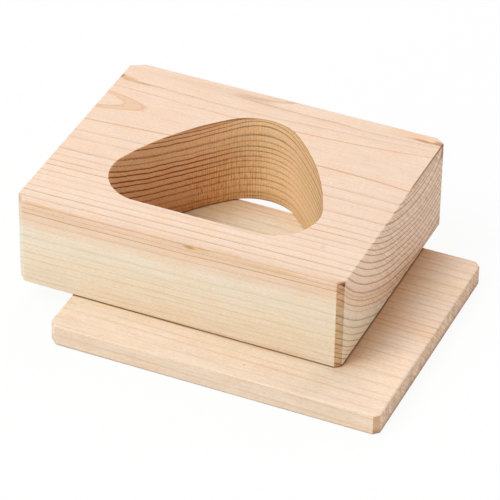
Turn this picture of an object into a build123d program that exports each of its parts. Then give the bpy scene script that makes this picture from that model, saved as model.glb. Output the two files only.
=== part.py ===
"""Wooden rice ball mold: a thick block of solid softwood with a rounded triangular opening cut right through it,
standing askew on the thin board of the same wood that closes the opening from below.

Millimetres. The origin is the centre of the board's underside, +X runs along the grain of both pieces, +Y points
to the opening's apex, +Z is up. The block lies loose on the board and is lifted straight up off the pressed rice.
"""

import math
import os

from build123d import *

# Base board
board_length = 201.0
board_width = 158.0
board_thickness = 13.6
board_corner_chamfer = 3.3
board_front_left_chamfer = 4.6
board_corner_round = 1.2
board_edge_round = 1.4

# Block
block_length = 200.0
block_width = 156.2
block_height = 57.4
block_corner_round = 0.9
block_top_round = 0.8
block_foot_round = 1.0

# Corner chamfers of the block, planed by hand: no two are alike, and the two at the rear are wider than the front pair
front_left_chamfer = 4.7
front_right_chamfer = 3.5
rear_right_chamfer_along = 5.8
rear_right_chamfer_across = 4.0
rear_left_chamfer_along = 8.6
rear_left_chamfer_across = 5.0

# How far the block's centre lies from the board's centre
block_shift_x = -35.35
block_shift_y = 29.7

# Opening: a triangle of three bulging sides with round corners, one flat side along the block's front
opening_width = 127.0
opening_depth = 105.8
opening_front_margin = 25.9
opening_corner_radius = 26.7
opening_apex_radius = 31.0
opening_side_radius = 162.0
opening_rim_round = 0.6

block_plane = Plane(origin=(block_shift_x, block_shift_y, board_thickness))


def polar_angle(start, end):
    """Direction from one point to another, in degrees."""
    return math.degrees(math.atan2(end[1] - start[1], end[0] - start[0]))


def side_arc_centre(corner, apex):
    """Centre of the right side's arc, which lies inside both round corners' circles and touches each."""
    to_corner = opening_side_radius - opening_corner_radius
    to_apex = opening_side_radius - opening_apex_radius
    dx = apex[0] - corner[0]
    dy = apex[1] - corner[1]
    span = math.hypot(dx, dy)
    along = (to_corner**2 - to_apex**2 + span**2) / (2 * span)
    inward = math.sqrt(to_corner**2 - along**2)
    return (
        corner[0] + (dx * along - dy * inward) / span,
        corner[1] + (dy * along + dx * inward) / span,
    )


# Base board: upright corners chamfered, every edge eased
with BuildPart() as base_board:
    with BuildSketch(Plane.XY):
        Rectangle(board_length, board_width)
    extrude(amount=board_thickness)

    board_corners = base_board.edges().filter_by(Axis.Z).group_by(Axis.Y)
    board_front_left, board_front_right = board_corners[0].sort_by(Axis.X)
    chamfer(board_front_left, board_front_left_chamfer)
    chamfer([board_front_right, *board_corners[-1]], board_corner_chamfer)
    fillet(base_board.edges().filter_by(Axis.Z), board_corner_round)
    flat_faces = base_board.faces().filter_by(Plane.XY)
    fillet(flat_faces.edges(), board_edge_round)

# Mold block: the solid block, its planed corners and eased edges, then the opening and its eased rims
with BuildPart() as mold_block:
    with BuildSketch(block_plane):
        Rectangle(block_length, block_width)
    extrude(amount=block_height)

    block_corners = mold_block.edges().filter_by(Axis.Z).group_by(Axis.Y)
    front_left, front_right = block_corners[0].sort_by(Axis.X)
    rear_left, rear_right = block_corners[-1].sort_by(Axis.X)
    rear_face = mold_block.faces().sort_by(Axis.Y)[-1]
    chamfer(rear_left, rear_left_chamfer_along, rear_left_chamfer_across, reference=rear_face)
    chamfer(rear_right, rear_right_chamfer_along, rear_right_chamfer_across, reference=rear_face)
    chamfer(front_left, front_left_chamfer)
    chamfer(front_right, front_right_chamfer)
    fillet(mold_block.edges().filter_by(Axis.Z), block_corner_round)

    fillet(mold_block.faces().sort_by(Axis.Z)[-1].edges(), block_top_round)
    fillet(mold_block.faces().sort_by(Axis.Z)[0].edges(), block_foot_round)

    opening_front = opening_front_margin - block_width / 2
    corner_centre = (opening_width / 2 - opening_corner_radius, opening_front + opening_corner_radius)
    apex_centre = (0, opening_front + opening_depth - opening_apex_radius)
    side_centre = side_arc_centre(corner_centre, apex_centre)
    side_start = polar_angle(side_centre, corner_centre)
    side_end = polar_angle(side_centre, apex_centre)
    with BuildSketch(block_plane):
        with BuildLine() as outline:
            Line((-corner_centre[0], opening_front), (corner_centre[0], opening_front))
            right_corner = CenterArc(corner_centre, opening_corner_radius, -90, side_start + 90)
            right_side = CenterArc(side_centre, opening_side_radius, side_start, side_end - side_start)
            CenterArc(apex_centre, opening_apex_radius, side_end, 180 - 2 * side_end)
            mirror((right_corner, right_side), about=Plane.YZ)
        make_face()
    extrude(amount=block_height, mode=Mode.SUBTRACT)

    block_faces = mold_block.faces().filter_by(Plane.XY).sort_by(Axis.Z)
    rims = block_faces[-1].inner_wires() + block_faces[0].inner_wires()
    fillet(rims.edges(), opening_rim_round)

base_board.part.label = "base_board"
mold_block.part.label = "mold_block"

os.makedirs("parts", exist_ok=True)
export_step(base_board.part, "parts/base_board.step")
export_step(mold_block.part, "parts/mold_block.step")
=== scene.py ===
"""Looks of the wooden rice ball mold: bare planed softwood, cut from the log as the growth rings show."""

import math

import bpy
from mathutils import Matrix, Vector


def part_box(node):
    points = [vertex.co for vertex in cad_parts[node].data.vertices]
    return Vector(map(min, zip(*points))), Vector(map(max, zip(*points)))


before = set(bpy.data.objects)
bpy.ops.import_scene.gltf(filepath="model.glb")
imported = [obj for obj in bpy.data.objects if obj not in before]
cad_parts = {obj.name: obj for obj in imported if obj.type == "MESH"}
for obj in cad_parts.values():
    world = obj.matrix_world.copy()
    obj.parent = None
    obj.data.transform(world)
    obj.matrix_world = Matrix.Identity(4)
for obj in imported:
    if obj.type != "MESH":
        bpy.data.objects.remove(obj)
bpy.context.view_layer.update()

scene = bpy.context.scene
MM = 0.001

# Camera, in metres in the frame of the part
CAMERA_PLACE = Vector((0.60914, -1.44433, 1.17541))
CAMERA_TARGET = Vector((-0.01402, 0.00615, 0.03537))
CAMERA_ROLL = math.radians(0.95)
CAMERA_LENS = 246.46
SENSOR_WIDTH = 36.0

# Softboxes: degrees left of the front, degrees above the floor, side in metres, watts
LAMP_DISTANCE = 2.6
LAMPS = {
    "key_left": (60, 60, 1.6, 23),
    "key_front": (30, 50, 1.6, 31),
    "back": (170, 50, 1.6, 28),
    "fill_right": (283, 12, 1.6, 31),
    "fill_left": (40, 12, 1.6, 18),
}
FLOOR_GLOW = 0.93

# The block and the board in millimetres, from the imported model
BLOCK_LOW, BLOCK_HIGH = (tuple(1000 * value for value in corner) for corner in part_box("mold_block"))
BOARD_LOW, BOARD_HIGH = (tuple(1000 * value for value in corner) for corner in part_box("base_board"))

# Growth rings of the block: the outer edge of each in millimetres from the pith, and how dark its late wood
# looks on the planed sides, across the grain, and on the left of the opening's wall. The edges follow the
# dark lines measured in the photograph and were moved. The darkness was set against the
# photograph's contrast
BLOCK_RINGS = (
    (110.5, 0.00, 0.60, 1.10), (113.0, 0.95, 1.20, 1.35), (116.0, 0.70, 1.60, 1.20),
    (121.8, 0.75, 0.72, 0.60), (125.4, 0.50, 0.50, 0.55), (128.9, 0.95, 1.05, 1.45),
    (132.1, 1.10, 1.15, 2.40), (136.0, 0.65, 0.95, 1.35), (139.0, 0.62, 1.05, 1.90),
    (143.4, 0.50, 0.95, 0.90), (147.3, 0.70, 0.85, 1.00), (151.4, 1.30, 0.85, 0.70),
    (156.1, 0.75, 0.90, 0.35), (161.2, 0.70, 0.80, 0.60), (163.4, 0.70, 0.65, 0.60),
    (165.5, 1.60, 1.10, 0.60), (169.0, 0.45, 0.75, 0.60), (172.0, 0.20, 0.35, 0.30),
    (177.5, 0.45, 0.80, 0.60), (181.7, 0.38, 0.75, 0.60), (185.7, 0.45, 0.65, 0.50),
    (189.4, 0.60, 0.85, 0.60), (192.8, 0.38, 0.80, 0.60), (195.0, 0.35, 0.55, 0.50),
    (197.4, 0.55, 1.00, 0.60), (200.1, 0.50, 1.05, 0.60), (203.9, 0.50, 0.95, 0.60),
)
RING_LOW = 107.5
RING_HIGH = 215.0
STRONGEST = 2.4

# The block's pith in millimetres, bent along the grain: polynomials of the place along X, in steps of
# 100 mm, which is FIELD_START at the frame's origin
FIELD_START = 0.357
PITH_Y = (61.0, 20.5, 1.3)
PITH_Z = (179.1, 0.2, 0.4)
# How the rings differ from circles: a stretch with the angle, and a twist and a bend along the grain
RING_STRETCH = (1.0, 0.042, 0.02, -0.01)
RING_TWIST = -18.4
RING_BEND = -0.5

# The opening, in millimetres: half sizes around the block's middle that hold it, how far in front of that
# middle the point lies from which angles are taken, the wall's mean distance from there, and the pitch of
# the cutter's chatter
OPENING_REACH_X = 70.0
OPENING_REACH_Y = 60.0
OPENING_MIDDLE = 8.0
WALL_DISTANCE = 55.0
CHATTER_PITCH = 1.45

# Growth rings of the board, millimetres along its width at the right end of its top: edge and darkness,
# measured in the photograph and set in the same way
BOARD_RINGS = (
    (-93.0, 0.40), (-87.5, 0.50), (-80.0, 0.30), (-72.4, 0.25), (-63.8, 0.50), (-58.7, 0.45),
    (-50.4, 0.45), (-40.5, 0.38), (-33.0, 0.40), (-29.5, 0.40), (-23.7, 0.70), (-16.1, 0.50),
    (-13.6, 0.50), (-8.5, 0.25), (-5.7, 0.90), (0.5, 0.80), (4.2, 1.10), (9.9, 0.75), (16.4, 0.70),
    (22.5, 0.35), (27.8, 0.70), (32.3, 0.45), (36.0, 1.20), (38.9, 0.35), (42.6, 0.95), (51.3, 0.45),
    (60.5, 0.45), (66.9, 0.40), (69.8, 0.90), (74.6, 0.50),
)
BOARD_RING_LOW = -98.0
BOARD_RING_HIGH = 82.0
# How far the board's rings move across it per millimetre of depth and of length, and the x at which their
# edges are given
BOARD_RING_SLANT = 0.94
BOARD_RING_DRIFT = 0.0194
BOARD_RING_PLACE = 80.0
FRONT_STRIP_WIDTH = 30.0

# Marks in the wood, millimetres: centre, size and the factor on the colour
BLOCK_MARKS = (
    ((-121, 87.6, 71), (17, 1.6, 5), (0.84, 0.66, 0.48)),
    ((-130, 90.0, 71), (8, 3.2, 3), (0.95, 0.80, 0.58)),
    ((-134.5, 91.0, 70.6), (2.5, 2.5, 3), (0.60, 0.50, 0.42)),
    ((54, 101.0, 71), (14, 2.0, 4), (0.70, 0.46, 0.30)),
    ((62, 102.0, 71), (5, 3.0, 3), (0.72, 0.50, 0.34)),
    ((48, 104.5, 71), (24, 3.0, 3), (1.0, 0.90, 0.80)),
    ((65, 102.5, 66), (3, 5, 9), (0.56, 0.42, 0.34)),
    ((-27, -48.4, 68.6), (5, 2.5, 1.5), (0.70, 0.59, 0.40)),
    ((-22, -48.4, 69.0), (16, 4, 2.4), (0.95, 0.91, 0.74)),
    ((26, -48.4, 68.7), (40, 2.6, 1.6), (0.95, 0.93, 0.77)),
    ((-118, -48.4, 69.6), (16, 2.6, 1.6), (0.96, 0.92, 0.76)),
    ((64.4, -45.4, 70.0), (2.6, 2.0, 3.0), (0.34, 0.25, 0.18)),
    ((62.6, -46.8, 70.6), (3.0, 3.0, 1.3), (0.70, 0.50, 0.36)),
    ((-134.0, -46.8, 69.3), (2.6, 2.6, 4.0), (0.42, 0.30, 0.22)),
    ((41, -20, 71), (2.2, 3, 2), (0.90, 0.88, 0.88)),
)
# Zones on the board, millimetres: centre, size and the factor on the colour. Most are the wood's own tone;
# the two in the opening are painted light
BOARD_TONES_AND_LIGHT = (
    ((80, 4, 13), (60, 12, 14), (1.0, 0.95, 0.90)),
    ((80, 48, 13), (60, 8, 14), (0.97, 0.96, 0.90)),
    ((78, 78.5, 13.6), (34, 1.8, 3), (1.0, 0.80, 0.62)),
    # Painted light in the opening: a painted pool of light on the board, and painted golden bounce light
    # from the opening's wall
    ((-28, 54, 13.6), (46, 27, 5), (1.10, 1.24, 1.32)),
    ((-62, 70, 13.6), (24, 22, 5), (1.0, 0.97, 0.78)),
    ((15, -67, 13.6), (1.4, 0.8, 2), (0.70, 0.55, 0.42)),
    ((-83, -63, 13.6), (2.5, 1.0, 2), (0.90, 0.86, 0.82)),
)


class Wood:
    """One node material, with short calls that add its nodes."""

    def __init__(self, name):
        self.material = bpy.data.materials.new(name)
        self.material.use_nodes = True
        self.tree = self.material.node_tree
        self.shader = self.tree.nodes["Principled BSDF"]
        place = self.tree.nodes.new("ShaderNodeTexCoord")
        self.point = self.vector("MULTIPLY", place.outputs["Object"], (1000, 1000, 1000))
        self.x, self.y, self.z = self.split(self.point)
        self.normal_x, self.normal_y, self.normal_z = self.split(place.outputs["Normal"])

    def plug(self, socket, value):
        """Link a socket to a node's output, or set it."""
        if isinstance(value, bpy.types.NodeSocket):
            self.tree.links.new(value, socket)
        else:
            socket.default_value = value

    def math(self, operation, *values, clamp=False):
        """The result of one sum on numbers or other nodes' outputs."""
        node = self.tree.nodes.new("ShaderNodeMath")
        node.operation = operation
        node.use_clamp = clamp
        for socket, value in zip(node.inputs, values):
            self.plug(socket, value)
        return node.outputs[0]

    def times(self, *values):
        """The product of several values."""
        product = values[0]
        for value in values[1:]:
            product = self.math("MULTIPLY", product, value)
        return product

    def share(self, value, gain, offset):
        """A noise made stronger and moved, and kept between 0 and 1."""
        return self.math("MULTIPLY_ADD", value, gain, offset, clamp=True)

    def vector(self, operation, *values):
        """The result of one sum on points or directions."""
        node = self.tree.nodes.new("ShaderNodeVectorMath")
        node.operation = operation
        for socket, value in zip(node.inputs, values):
            self.plug(socket, value)
        return node.outputs["Value" if operation == "LENGTH" else "Vector"]

    def split(self, vector):
        """The x, y and z of a point or direction."""
        node = self.tree.nodes.new("ShaderNodeSeparateXYZ")
        self.plug(node.inputs[0], vector)
        return node.outputs

    def join(self, x, y, z):
        """A point from its x, y and z."""
        node = self.tree.nodes.new("ShaderNodeCombineXYZ")
        for socket, value in zip(node.inputs, (x, y, z)):
            self.plug(socket, value)
        return node.outputs[0]

    def polynomial(self, value, factors):
        """factors[0] + factors[1] * value + factors[2] * value**2 and so on."""
        total = factors[-1]
        for factor in reversed(factors[:-1]):
            total = self.math("MULTIPLY_ADD", total, value, factor)
        return total

    def step(self, value, low, high, to_low=0.0, to_high=1.0):
        """A smooth change from one value to another as the input goes from low to high."""
        node = self.tree.nodes.new("ShaderNodeMapRange")
        node.interpolation_type = "SMOOTHSTEP"
        for socket, number in zip(node.inputs, (value, low, high, to_low, to_high)):
            self.plug(socket, number)
        return node.outputs[0]

    def curve(self, value, points):
        """Straight stretches through points, all within 0 and 1."""
        node = self.tree.nodes.new("ShaderNodeFloatCurve")
        line = node.mapping.curves[0]
        line.points[0].location = points[0]
        line.points[1].location = points[-1]
        for place in points[1:-1]:
            line.points.new(*place)
        for point in line.points:
            point.handle_type = "VECTOR"
        node.mapping.update()
        self.plug(node.inputs["Value"], value)
        return node.outputs[0]

    def noise(self, size, detail=2.0, point=None, seed=0.0):
        """Noise about zero, mostly within -0.5 and 0.5, with patches of the given size along X, Y and Z."""
        node = self.tree.nodes.new("ShaderNodeTexNoise")
        node.noise_dimensions = "4D"
        shares = tuple(1 / length for length in size)
        self.plug(node.inputs["Vector"], self.vector("MULTIPLY", point or self.point, shares))
        node.inputs["W"].default_value = seed
        node.inputs["Scale"].default_value = 1.0
        node.inputs["Detail"].default_value = detail
        return self.math("SUBTRACT", node.outputs[0], 0.5)

    def ramp(self, value, stops):
        """Colours at places between 0 and 1."""
        node = self.tree.nodes.new("ShaderNodeValToRGB")
        elements = node.color_ramp.elements
        elements[0].position, elements[0].color = stops[0][0], (*stops[0][1], 1)
        elements[1].position, elements[1].color = stops[-1][0], (*stops[-1][1], 1)
        for place, colour in stops[1:-1]:
            elements.new(place).color = (*colour, 1)
        self.plug(node.inputs[0], value)
        return node.outputs[0]

    def tint(self, colour, share, factor):
        """The colour multiplied by a factor, as far as the share says."""
        node = self.tree.nodes.new("ShaderNodeMix")
        node.data_type = "RGBA"
        node.blend_type = "MULTIPLY"
        node.clamp_factor = True
        self.plug(node.inputs[0], share)
        self.plug(node.inputs[6], colour)
        self.plug(node.inputs[7], (*factor, 1) if isinstance(factor, tuple) else factor)
        return node.outputs[2]

    def crevice(self, reach, dark=0.55, light=0.9):
        """1 right beside another surface, falling to 0 within the given reach in millimetres."""
        node = self.tree.nodes.new("ShaderNodeAmbientOcclusion")
        node.samples = 8
        node.inputs["Distance"].default_value = reach * MM
        return self.step(node.outputs["AO"], dark, light, 1, 0)

    def spot(self, centre, size, softness=0.8):
        """1 at a place in the wood and 0 outside the ellipsoid around it, with a ragged edge."""
        off = self.vector("SUBTRACT", self.point, centre)
        away = self.vector("LENGTH", self.vector("DIVIDE", off, size))
        ragged = self.math("MULTIPLY_ADD", self.noise((9, 1.2, 1.2), 3), 1.1, away)
        return self.step(ragged, 1 - softness, 1, 1, 0)


def ring_distance(wood):
    """Millimetres from the pith as the rings lie: the pith bends, and the rings aren't quite round."""
    along = wood.math("MULTIPLY_ADD", wood.x, 0.01, FIELD_START)
    pith_y = wood.polynomial(along, PITH_Y)
    pith_z = wood.polynomial(along, PITH_Z)
    forward = wood.math("SUBTRACT", pith_y, wood.y)
    down = wood.math("SUBTRACT", pith_z, wood.z)
    distance = wood.vector("LENGTH", wood.join(0.0, forward, down))
    angle = wood.math("ARCTAN2", forward, down)
    stretch = wood.polynomial(angle, RING_STRETCH)
    distance = wood.math("MULTIPLY", distance, stretch)
    twist = wood.math("MULTIPLY", wood.math("MULTIPLY", along, angle), RING_TWIST)
    cubed = wood.math("MULTIPLY", wood.math("POWER", along, 3.0), RING_BEND)
    for extra in (twist, cubed, rear_swell(wood)):
        distance = wood.math("ADD", distance, extra)
    return distance


def rear_swell(wood):
    """Millimetres that the rings rise under the rear of the top face, where they meet it almost flat."""
    right_part = wood.math("MAXIMUM", wood.math("ADD", wood.x, 60.0), 0.0)
    ridge = wood.math("MULTIPLY_ADD", right_part, 0.1, 72.0)
    amount = wood.math("MULTIPLY_ADD", wood.math("MAXIMUM", wood.x, 0.0), 0.03, 3.2)
    swell = wood.math("MULTIPLY", wood.step(wood.math("SUBTRACT", wood.y, ridge), 0, 18), amount)
    rear = wood.math("MAXIMUM", wood.math("SUBTRACT", wood.y, 94.0), 0.0)
    dip = wood.math("MULTIPLY", wood.math("POWER", rear, 2.0), wood.step(wood.x, -50, 20, 0.025, 0.0))
    return wood.math("MULTIPLY", wood.math("SUBTRACT", swell, dip), wood.step(wood.z, 50, 70))


def late_profile(wood, part, low, high):
    """Dark late wood within one ring: it darkens slowly outwards, then strongly, and ends sharply."""
    slow = wood.math("POWER", wood.step(part, 0.3, 0.95), 3.0)
    line = wood.math("MULTIPLY", wood.step(part, low, high), 0.7)
    both = wood.math("MULTIPLY_ADD", slow, 0.3, line)
    return wood.math("MULTIPLY", both, wood.step(part, 0.955, 1.0, 1, 0))


def ring_part(wood, share, places):
    """How far through its ring each place lies, from 0 to 1, for ring edges at places between 0 and 1."""
    count = len(places) + 1
    counts = [(0, 0)] + [(place, (k + 1) / count) for k, place in enumerate(places)] + [(1, 1)]
    age = wood.math("MULTIPLY", wood.curve(share, counts), count)
    return wood.math("FRACT", age)


def ring_strength(wood, share, places, darks):
    """How dark the late wood is along the ring field, with a value at each ring's edge."""
    points = [(place, dark / STRONGEST) for place, dark in zip(places, darks)]
    points = [(0, points[0][1])] + points + [(1, points[-1][1])]
    return wood.math("MULTIPLY", wood.curve(share, points), STRONGEST)


def block_late_wood(wood, distance, share):
    """How dark the block's late wood is on planed faces, across the grain and on the left of the wall."""
    places = [(ring[0] - RING_LOW) / (RING_HIGH - RING_LOW) for ring in BLOCK_RINGS]
    part = ring_part(wood, share, places)
    low = wood.step(distance, 110, 128, 0.91, 0.83)
    high = wood.step(distance, 110, 128, 0.97, 0.93)
    thin = late_profile(wood, part, low, high)
    wide = late_profile(wood, part, 0.72, 0.9)
    widest = late_profile(wood, part, 0.64, 0.88)
    broken = wood.math("MULTIPLY_ADD", wood.noise((16, 1.4, 1.4), 2, seed=7.0), 1.6, 0.95)
    darks = []
    for column, profile in ((1, thin), (2, wide), (3, widest)):
        strength = ring_strength(wood, share, places, [ring[column] for ring in BLOCK_RINGS])
        dark = wood.math("MULTIPLY", wood.math("MULTIPLY", profile, strength), broken, clamp=True)
        darks.append(dark)
    return darks


def thin_ring(wood, distance, start, end):
    """1 between two distances from the pith, for late wood that the top face meets almost flat."""
    soft = 0.2 * (end - start)
    inner = wood.step(distance, start, start + soft)
    return wood.math("MULTIPLY", inner, wood.step(distance, end - soft, end, 1, 0))


def side_grain_texture(wood, base, strength=1.0):
    """Fine fibres, flecks and slow changes of tone and hue."""
    fibre = wood.noise((24, 0.45, 0.45), 3, seed=2.0)
    fleck = wood.noise((2.2, 0.55, 0.55), 2, seed=4.0)
    tone = wood.noise((70, 14, 14), 2, seed=5.0)
    hue = wood.noise((16, 5, 5), 2, seed=6.0)
    for value, gain, factor in (
        (fibre, 3.6, (0.915, 0.895, 0.875)),
        (fleck, 4.2, (0.92, 0.90, 0.885)),
        (tone, 2.4, (0.985, 0.965, 0.95)),
        (hue, 5.0, (1.0, 0.96, 0.91)),
    ):
        base = wood.tint(base, wood.share(value, gain * strength, 0.4), factor)
    return base, fibre


def saw_marks(wood):
    """Fine slanting strokes across the sawn ends."""
    along = wood.math("MULTIPLY", wood.math("SUBTRACT", wood.y, wood.z), 0.7)
    across = wood.math("MULTIPLY", wood.math("ADD", wood.y, wood.z), 0.7)
    return wood.noise((5, 13, 0.75), 1, point=wood.join(wood.x, along, across), seed=8.0)


def finish(wood, base, roughness, relief, depth=0.1):
    """Plug colour, roughness and a shallow relief, its depth in millimetres, into the shader."""
    wood.plug(wood.shader.inputs["Base Color"], base)
    wood.plug(wood.shader.inputs["Roughness"], roughness)
    wood.shader.inputs["Specular IOR Level"].default_value = 0.3
    bump = wood.tree.nodes.new("ShaderNodeBump")
    bump.inputs["Strength"].default_value = 0.3
    bump.inputs["Distance"].default_value = depth * MM
    wood.plug(bump.inputs["Height"], relief)
    wood.plug(wood.shader.inputs["Normal"], bump.outputs[0])


def slanted_cut(wood, end_grain):
    """1 on edges cut at a slant across the grain, and 0 on faces along or square to it."""
    return wood.times(wood.step(end_grain, 0.15, 0.6), wood.step(end_grain, 0.75, 0.97, 1, 0))


def facing_right(wood):
    """1 on upright faces that look to the right."""
    upright = wood.step(wood.math("ABSOLUTE", wood.normal_z), 0.6, 0.2)
    return wood.times(wood.step(wood.normal_x, -0.2, 0.4), upright)


def wood_relief(wood, fibre, late, saw, square):
    """Height of the fibres, the hard late wood and the saw marks on square cuts."""
    relief = wood.math("MULTIPLY_ADD", fibre, 0.5, wood.times(late, 0.4))
    return wood.math("MULTIPLY_ADD", wood.times(saw, square), 0.8, relief)


class BlockPlaces:
    """Where a point lies on the block, in shares from 0 to 1, and its direction in the opening."""

    def __init__(self, wood):
        end_grain = wood.math("ABSOLUTE", wood.normal_x)
        upright = wood.step(wood.math("ABSOLUTE", wood.normal_z), 0.3, 0.8, 1, 0)
        from_x = wood.math("SUBTRACT", wood.x, (BLOCK_LOW[0] + BLOCK_HIGH[0]) / 2)
        from_y = wood.math("SUBTRACT", wood.y, (BLOCK_LOW[1] + BLOCK_HIGH[1]) / 2)
        in_x = wood.math("LESS_THAN", wood.math("ABSOLUTE", from_x), OPENING_REACH_X)
        in_y = wood.math("LESS_THAN", wood.math("ABSOLUTE", from_y), OPENING_REACH_Y)
        self.near_opening = wood.times(in_x, in_y)
        self.wall = wood.times(self.near_opening, upright)
        outside = wood.math("SUBTRACT", 1.0, self.wall)
        # Direction from the middle of the opening: 0 at the apex, positive on the left
        from_middle = wood.math("ADD", from_y, OPENING_MIDDLE)
        self.around = wood.math("ARCTAN2", wood.times(from_x, -1.0), from_middle)
        self.wall_left = wood.times(wood.step(self.around, -0.2, 0.9), self.wall)
        self.wall_right = wood.math("SUBTRACT", self.wall, self.wall_left)
        # Cuts across the grain: square on, golden where a slant faces right, pale at the front left
        slant = wood.times(slanted_cut(wood, end_grain), outside)
        self.square = wood.times(wood.step(end_grain, 0.8, 0.98), outside)
        self.golden = wood.times(slant, facing_right(wood))
        left = wood.times(slant, wood.step(wood.normal_x, 0.0, -0.2))
        self.left_slant = wood.times(left, wood.step(wood.y, 10, -20))
        self.cut = wood.math("MAXIMUM", wood.step(end_grain, 0.2, 0.7), self.wall_left)
        self.planed = wood.math("SUBTRACT", 1.0, self.cut)
        self.outside = outside


def block_distance(wood, places):
    """The ring distance with the small waves of real rings."""
    distance = ring_distance(wood)
    calm = wood.step(distance, 107, 124, 0.03, 1.0)
    wobble = wood.times(wood.noise((90, 22, 22), 2), 1.2)
    wobble = wood.math("MULTIPLY_ADD", wood.noise((32, 3, 3), 2, seed=3.0), 0.55, wobble)
    distance = wood.math("MULTIPLY_ADD", wobble, calm, distance)
    curl = wood.times(wood.noise((13, 13, 6), 1, seed=15.0), places.wall_left)
    distance = wood.math("MULTIPLY_ADD", curl, 1.3, distance)
    # At the right end the rings spread a little towards the rear
    rear_end = wood.times(wood.step(wood.y, 40, 75), wood.step(wood.x, 20, 60))
    spread = wood.times(wood.step(distance, 116, 132), rear_end)
    return wood.math("MULTIPLY_ADD", spread, -2.2, distance)


def block_early_wood(wood, share):
    """Pink heartwood, then the pale band of new sapwood and the yellower sapwood outside it."""
    # The tones were chosen against the photograph's brightness, averaged over patches of each face
    wood_colours = (
        (109.3, (0.945, 0.73, 0.58)), (150, (0.96, 0.76, 0.61)), (157, (0.93, 0.73, 0.58)),
        (160, (0.88, 0.66, 0.50)), (164, (0.865, 0.645, 0.47)), (167.5, (0.885, 0.68, 0.505)),
        (170.5, (0.885, 0.715, 0.555)), (173, (0.88, 0.765, 0.61)), (176, (0.88, 0.785, 0.63)),
        (181, (0.87, 0.765, 0.60)), (188, (0.885, 0.775, 0.60)), (194, (0.875, 0.75, 0.57)),
        (202, (0.88, 0.755, 0.58)),
    )
    stops = [((radius - RING_LOW) / (RING_HIGH - RING_LOW), colour) for radius, colour in wood_colours]
    return wood.ramp(share, stops)


def tint_late_wood(wood, base, places, share, lates):
    """Reddish brown above, greenish below, darker across the grain and on the opening's wall."""
    planed_late, cut_late, wall_late = lates
    planed_line = wood.ramp(share, (
        (0.0, (0.70, 0.58, 0.45)), (0.5, (0.70, 0.59, 0.46)), (0.54, (0.60, 0.50, 0.38)),
        (0.58, (0.76, 0.66, 0.53)), (1.0, (0.76, 0.66, 0.53)),
    ))
    base = wood.tint(base, wood.times(planed_late, places.planed), planed_line)
    front_fade = wood.step(wood.y, -5, 25, 0.85, 1.0)
    pale_fade = wood.math("MULTIPLY_ADD", places.left_slant, -0.7, 1.0)
    end_line = wood.times(cut_late, places.cut, places.outside, front_fade, pale_fade)
    base = wood.tint(base, end_line, (0.45, 0.29, 0.19))
    base = wood.tint(base, wood.times(wall_late, places.wall_left), (0.41, 0.12, 0.02))
    low_fade = wood.step(wood.z, 38, 62, 0.5, 1.0)
    near_gain = wood.step(places.around, -1.2, -0.6, 1.7, 1.0)
    right_line = wood.times(cut_late, low_fade, near_gain, places.wall_right)
    base = wood.tint(base, right_line, (0.55, 0.42, 0.31))
    near_line = wood.times(wall_late, wood.step(places.around, -1.0, -1.5, 0.0, 0.8), places.wall_right)
    base = wood.tint(base, near_line, (0.38, 0.24, 0.13))
    near = wood.times(wood.step(places.around, -1.0, -1.5), wood.step(wood.z, 55, 35), places.wall_right)
    return wood.tint(base, near, (0.99, 0.95, 0.90))


def tint_flat_grain(wood, base, distance):
    """The heart of the flat grain on top: two nested loops at the left and one thin line around them."""
    loops = 0.0
    for start, end, strength in (
        (106.70, 106.98, 0.5), (106.70, 106.76, 0.3), (106.91, 106.99, 0.4), (109.04, 109.28, 1.1),
    ):
        loops = wood.math("ADD", loops, wood.times(thin_ring(wood, distance, start, end), strength))
    return wood.tint(base, loops, (0.85, 0.69, 0.51))


def tint_cuts(wood, base, places, late, saw):
    """Cuts across the grain: greyer square on, golden at a slant where they face right."""
    base = wood.tint(base, places.golden, (0.81, 0.66, 0.50))
    base = wood.tint(base, wood.times(places.golden, late), (0.84, 0.76, 0.68))
    patch = wood.share(wood.noise((6, 6, 1.6), 2, seed=16.0), 4.0, 0.5)
    base = wood.tint(base, wood.times(places.golden, patch), (0.86, 0.77, 0.64))
    # The front chamfer is greyer towards the end
    greyer = wood.times(wood.step(wood.x, 62.6, 63.6), wood.step(wood.y, -43, -45), places.golden)
    base = wood.tint(base, greyer, (0.93, 0.96, 1.06))
    base = wood.tint(base, places.left_slant, (0.92, 0.99, 1.05))
    base = wood.tint(base, places.square, (1.02, 1.0, 0.98))
    saw_place = wood.times(places.square, wood.step(wood.y, -25, 30, 0.3, 1.0))
    return wood.tint(base, wood.times(wood.share(saw, 4.0, 0.5), saw_place), (0.77, 0.74, 0.70))


def tint_top_edges(wood, base, places):
    """The top's right edge, with a painted highlight in the middle and brown at the rear, and the opening's
    brown rim.
    """
    edge = wood.step(wood.z, BLOCK_HIGH[2] - 1.8, BLOCK_HIGH[2])
    edge = wood.times(edge, wood.step(wood.normal_x, 0.15, 0.4))
    # Painted highlight along the middle of the top's right edge
    base = wood.tint(base, wood.times(edge, wood.step(wood.y, 55, 30)), (1.10, 1.12, 1.05))
    base = wood.tint(base, wood.times(edge, wood.step(wood.y, 48, 60)), (0.48, 0.34, 0.23))
    rim = wood.step(wood.z, BLOCK_HIGH[2] - 0.7, BLOCK_HIGH[2] - 0.3)
    rim = wood.times(rim, wood.step(wood.normal_z, 0.98, 0.85), places.near_opening)
    return wood.tint(base, rim, (0.74, 0.58, 0.42))


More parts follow.
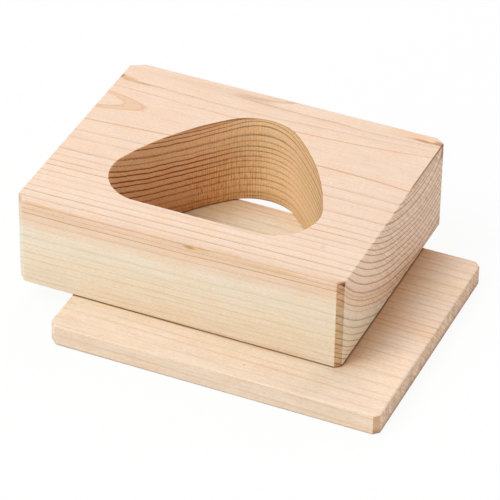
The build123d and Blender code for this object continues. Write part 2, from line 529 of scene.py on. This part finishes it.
def tint_wall(wood, base, places):
    """The opening's wall: burnished all round, browner on its left and darker towards its foot there."""
    base = wood.tint(base, places.wall, (1.11, 1.11, 1.02))
    half_turn = wood.math("MULTIPLY_ADD", places.around, 1 / (2 * math.pi), 0.5)
    wall_colours = (
        (-0.5, (0.88, 0.865, 0.72)), (-0.17, (0.95, 0.94, 0.81)), (0.08, (1.0, 1.0, 0.85)),
        (0.35, (1.0, 0.955, 0.80)), (0.6, (0.965, 0.845, 0.69)), (0.89, (0.92, 0.78, 0.62)),
        (1.2, (0.85, 0.71, 0.55)),
    )
    stops = [(angle / (2 * math.pi) + 0.5, colour) for angle, colour in wall_colours]
    base = wood.tint(base, places.wall, wood.ramp(half_turn, stops))
    low_left_wall = wood.times(places.wall_left, wood.step(wood.z, 60, 15))
    return wood.tint(base, low_left_wall, (0.92, 0.84, 0.78))


def tint_tool_marks(wood, base, places):
    """The cutter's chatter on the left of the opening's wall with painted glints between its dark lines, a
    few dark strokes below it, and speckle.
    """
    around = places.around
    arc = wood.times(around, WALL_DISTANCE)
    on_wall = wood.join(arc, 0.0, wood.z)
    ladder = wood.math("SINE", wood.times(arc, 2 * math.pi / CHATTER_PITCH))
    chatter = wood.noise((0.9, 1, 9), 1, point=on_wall, seed=9.0)
    chatter = wood.math("MULTIPLY_ADD", ladder, 0.12, chatter)
    left_part = wood.times(wood.step(around, -0.05, 0.15), wood.step(around, 0.6, 1.0, 1, 0))
    chatter_place = wood.times(left_part, wood.step(wood.z, 55, 32, 0.4, 1.0))
    dark = wood.times(wood.share(chatter, 4.0, 0.3), chatter_place, places.wall)
    base = wood.tint(base, dark, (0.78, 0.69, 0.60))
    # Painted glints on the chatter, between its dark lines
    bright = wood.times(wood.share(chatter, -4.0, 0.2), chatter_place, places.wall)
    base = wood.tint(base, bright, (1.10, 1.05, 0.96))
    stroke = wood.noise((1.1, 1, 4.5), 1, point=on_wall, seed=10.0)
    stroke_part = wood.times(wood.step(around, 0.25, 0.45), wood.step(around, 0.9, 1.1, 1, 0))
    stroke_place = wood.times(stroke_part, wood.step(wood.z, 45, 32))
    strokes = wood.times(wood.step(stroke, 0.10, 0.2), stroke_place, places.wall)
    base = wood.tint(base, strokes, (0.55, 0.38, 0.28))
    speckle = wood.share(wood.noise((0.8, 0.8, 0.8), 2, seed=14.0), 4.0, 0.2)
    base = wood.tint(base, wood.times(speckle, places.wall), (0.82, 0.77, 0.70))
    return base, dark


def block_wood():
    """The block: heartwood above, sapwood below, greyer end grain and a burnished opening."""
    wood = Wood("block_softwood")
    places = BlockPlaces(wood)
    distance = block_distance(wood, places)
    share = wood.math("DIVIDE", wood.math("SUBTRACT", distance, RING_LOW), RING_HIGH - RING_LOW)
    lates = block_late_wood(wood, distance, share)
    planed_late, cut_late = lates[:2]
    late = wood.math("MULTIPLY_ADD", cut_late, places.cut, wood.times(planed_late, places.planed))
    saw = saw_marks(wood)

    base, fibre = side_grain_texture(wood, block_early_wood(wood, share))
    base = tint_late_wood(wood, base, places, share, lates)
    base = tint_flat_grain(wood, base, distance)
    base = tint_cuts(wood, base, places, late, saw)
    base = tint_top_edges(wood, base, places)
    base = tint_wall(wood, base, places)
    base, chatter = tint_tool_marks(wood, base, places)

    # Marks that this block has, and painted shade along the foot of the opening's left wall, where it meets
    # the board
    for centre, size, factor in BLOCK_MARKS:
        base = wood.tint(base, wood.spot(centre, size), factor)
    foot = wood.step(wood.z, BLOCK_LOW[2] + 0.2, BLOCK_LOW[2] + 0.8, 1, 0)
    base = wood.tint(base, wood.times(foot, places.wall_left), (0.36, 0.27, 0.19))

    relief = wood_relief(wood, fibre, late, saw, places.square)
    relief = wood.math("MULTIPLY_ADD", chatter, -0.8, relief)
    finish(wood, base, wood.math("MULTIPLY_ADD", late, -0.1, 0.62), relief)
    return wood.material


def board_late_wood(wood):
    """How dark the board's late wood is: nearly straight rings that slant through its thickness."""
    height = wood.math("SUBTRACT", wood.z, BOARD_HIGH[2])
    place = wood.math("MULTIPLY_ADD", height, BOARD_RING_SLANT, wood.y)
    along = wood.math("SUBTRACT", wood.x, BOARD_RING_PLACE)
    place = wood.math("MULTIPLY_ADD", along, BOARD_RING_DRIFT, place)
    wobble = wood.times(wood.noise((90, 30, 30), 2, seed=11.0), 1.6)
    wobble = wood.math("MULTIPLY_ADD", wood.noise((32, 3, 3), 2, seed=12.0), 0.6, wobble)
    place = wood.math("ADD", place, wobble)
    span = BOARD_RING_HIGH - BOARD_RING_LOW
    share = wood.math("DIVIDE", wood.math("SUBTRACT", place, BOARD_RING_LOW), span)
    places = [(ring[0] - BOARD_RING_LOW) / span for ring in BOARD_RINGS]
    strength = ring_strength(wood, share, places, [ring[1] for ring in BOARD_RINGS])
    late = wood.times(late_profile(wood, ring_part(wood, share, places), 0.7, 0.93), strength)
    broken = wood.noise((20, 1.6, 1.6), 2, seed=13.0)
    return wood.math("MULTIPLY", late, wood.math("MULTIPLY_ADD", broken, 1.6, 0.9), clamp=True)


def tint_front_strip(wood, base, top):
    """The strip in front of the block is palest at its front edge and darker next to the block: partly the
    wood's own tone, partly a painted highlight at the front edge and painted shade from the block.
    """
    strip = wood.math("DIVIDE", wood.math("SUBTRACT", wood.y, BOARD_LOW[1]), FRONT_STRIP_WIDTH)
    return wood.tint(base, wood.times(top, wood.step(wood.x, 95, 60)), wood.ramp(strip, (
        (0.0, (1.09, 1.11, 1.12)), (0.3, (1.06, 1.07, 1.09)), (0.5, (1.04, 1.06, 1.07)),
        (0.7, (0.975, 1.0, 1.0)), (0.87, (0.93, 0.955, 0.935)), (1.0, (0.93, 0.93, 0.91)),
    )))


def tint_board_ends(wood, base, saw, square):
    """The board's sawn ends: greyer, with saw marks and soft patches."""
    base = wood.tint(base, square, (0.93, 0.87, 0.81))
    base = wood.tint(base, wood.times(wood.share(saw, 5.0, 0.45), square), (0.80, 0.75, 0.71))
    for size, seed, factor in (
        ((9, 3.5, 12), 17.0, (0.84, 0.78, 0.74)),
        ((9, 8, 12), 18.0, (0.90, 0.90, 0.93)),
    ):
        patch = wood.share(wood.noise(size, 2, seed=seed), 5.0, 0.4)
        base = wood.tint(base, wood.times(patch, square), factor)
    return base


def tint_painted_contact_shade(wood, base, end_grain):
    """Painted shade along the lower edge, where the board meets the floor, higher on the sawn ends, and a
    painted contact shadow along the block's foot.
    """
    # Painted shade where the board's lower edge meets the floor
    top_of_shade = wood.step(end_grain, 0.0, 0.9, 2.6, 6.0)
    foot = wood.step(wood.z, 1.0, top_of_shade, 1, 0)
    foot = wood.times(foot, wood.step(end_grain, 0.0, 0.9, 0.25, 1.0))
    base = wood.tint(base, foot, (0.66, 0.63, 0.62))
    # A painted contact shadow along the foot of the block and of the opening's wall
    # The line is fainter in the opening's right half
    in_x = wood.step(wood.math("ABSOLUTE", wood.math("SUBTRACT", wood.x, 15.0)), 45, 35)
    in_y = wood.step(wood.math("ABSOLUTE", wood.math("SUBTRACT", wood.y, 30.0)), 62, 55)
    dark = wood.math("MULTIPLY_ADD", wood.times(in_x, in_y), -0.7, 1.0)
    return wood.tint(base, wood.times(wood.crevice(1.7), dark), (0.38, 0.29, 0.18))


def board_wood():
    """The board: a plank cut far from the pith, yellower in front and at the left, redder at the right."""
    wood = Wood("board_softwood")
    end_grain = wood.math("ABSOLUTE", wood.normal_x)
    top = wood.step(wood.normal_z, 0.5, 0.9)
    square = wood.step(end_grain, 0.8, 0.98)
    late = board_late_wood(wood)
    saw = saw_marks(wood)

    right = wood.step(wood.math("MULTIPLY_ADD", wood.y, 0.25, wood.x), 40, 95)
    base = wood.ramp(right, ((0.0, (0.915, 0.76, 0.615)), (1.0, (1.0, 0.805, 0.64))))
    # The wood's own tones, and painted light on the board in the opening
    for centre, size, factor in BOARD_TONES_AND_LIGHT:
        base = wood.tint(base, wood.spot(centre, size, 0.9), factor)
    # Painted shade beside the block's end: browner where little but the block's own colour lights it
    beside = wood.times(wood.crevice(30.0, 0.5, 0.9), wood.step(wood.x, 60, 67), wood.step(wood.y, -70, -45))
    base = wood.tint(base, wood.times(beside, top), (0.93, 0.73, 0.57))
    base, fibre = side_grain_texture(wood, base, 1.2)
    base = tint_front_strip(wood, base, top)
    base = wood.tint(base, wood.step(wood.normal_y, -0.9, -0.5, 1, 0), (0.95, 0.94, 0.91))
    base = wood.tint(base, late, wood.ramp(end_grain, (
        (0.0, (0.80, 0.69, 0.57)), (0.4, (0.72, 0.58, 0.46)), (1.0, (0.82, 0.75, 0.70)),
    )))
    golden = wood.times(slanted_cut(wood, end_grain), facing_right(wood))
    base = wood.tint(base, golden, (0.76, 0.62, 0.48))
    base = tint_board_ends(wood, base, saw, square)
    base = tint_painted_contact_shade(wood, base, end_grain)

    relief = wood_relief(wood, fibre, late, saw, square)
    finish(wood, base, wood.math("MULTIPLY_ADD", late, -0.1, 0.64), relief)
    return wood.material


def make_camera():
    """A long lens at the photograph's viewing angle, with its slight roll."""
    data = bpy.data.cameras.new("camera")
    data.lens = CAMERA_LENS
    data.sensor_width = SENSOR_WIDTH
    data.clip_start = 0.05
    data.clip_end = 50.0
    camera = bpy.data.objects.new("camera", data)
    aim = (CAMERA_TARGET - CAMERA_PLACE).to_track_quat("-Z", "Y").to_matrix()
    turn = aim @ Matrix.Rotation(CAMERA_ROLL, 3, "Z")
    camera.matrix_world = Matrix.Translation(CAMERA_PLACE) @ turn.to_4x4()
    scene.collection.objects.link(camera)
    scene.camera = camera


def seen_rays(tree):
    """1 for what the camera sees, also mirrored or through glass, and 0 for light on a surface."""
    path = tree.nodes.new("ShaderNodeLightPath")
    total = path.outputs["Is Camera Ray"]
    for name in ("Is Glossy Ray", "Is Transmission Ray"):
        add = tree.nodes.new("ShaderNodeMath")
        add.use_clamp = True
        tree.links.new(total, add.inputs[0])
        tree.links.new(path.outputs[name], add.inputs[1])
        total = add.outputs[0]
    return total


def make_floor():
    """A wide white floor that the board lies on."""
    half = 6.0
    mesh = bpy.data.meshes.new("floor")
    corners = [(-half, -half, 0), (half, -half, 0), (half, half, 0), (-half, half, 0)]
    mesh.from_pydata(corners, [], [(0, 1, 2, 3)])
    floor = bpy.data.objects.new("floor", mesh)
    scene.collection.objects.link(floor)
    material = bpy.data.materials.new("floor_white")
    material.use_nodes = True
    tree = material.node_tree
    shader = tree.nodes["Principled BSDF"]
    shader.inputs["Base Color"].default_value = (0.9, 0.9, 0.9, 1)
    shader.inputs["Roughness"].default_value = 0.8
    glow = tree.nodes.new("ShaderNodeEmission")
    glow.inputs["Color"].default_value = (1, 1, 1, 1)
    glow.inputs["Strength"].default_value = 1.0
    share = tree.nodes.new("ShaderNodeMath")
    share.operation = "MULTIPLY"
    share.inputs[1].default_value = FLOOR_GLOW
    mix = tree.nodes.new("ShaderNodeMixShader")
    tree.links.new(seen_rays(tree), share.inputs[0])
    tree.links.new(share.outputs[0], mix.inputs["Fac"])
    tree.links.new(shader.outputs[0], mix.inputs[1])
    tree.links.new(glow.outputs[0], mix.inputs[2])
    tree.links.new(mix.outputs[0], tree.nodes["Material Output"].inputs["Surface"])
    mesh.materials.append(material)


def make_lamps():
    """Softboxes around the object: a key in two halves, one behind, and two low fills."""
    for name, (left_of_front, above, side, watts) in LAMPS.items():
        turn = math.radians(left_of_front)
        rise = math.radians(above)
        flat = math.cos(rise)
        way = Vector((-math.sin(turn) * flat, -math.cos(turn) * flat, math.sin(rise)))
        data = bpy.data.lights.new(name, "AREA")
        data.shape = "SQUARE"
        data.size = side
        data.energy = watts
        lamp = bpy.data.objects.new(name, data)
        lamp.location = way * LAMP_DISTANCE
        lamp.rotation_euler = (-way).to_track_quat("-Z", "Y").to_euler()
        scene.collection.objects.link(lamp)


def make_world():
    """White as the camera and mirror-like surfaces see it, and no other light from it on the object."""
    world = bpy.data.worlds.new("studio")
    world.use_nodes = True
    tree = world.node_tree
    background = tree.nodes["Background"]
    background.inputs["Color"].default_value = (1, 1, 1, 1)
    tree.links.new(seen_rays(tree), background.inputs["Strength"])
    scene.world = world


make_camera()
make_floor()
make_lamps()
make_world()

for name, material in (("mold_block", block_wood()), ("base_board", board_wood())):
    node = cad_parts[name]
    node.data.materials.clear()
    node.data.materials.append(material)

scene.view_settings.view_transform = "Standard"
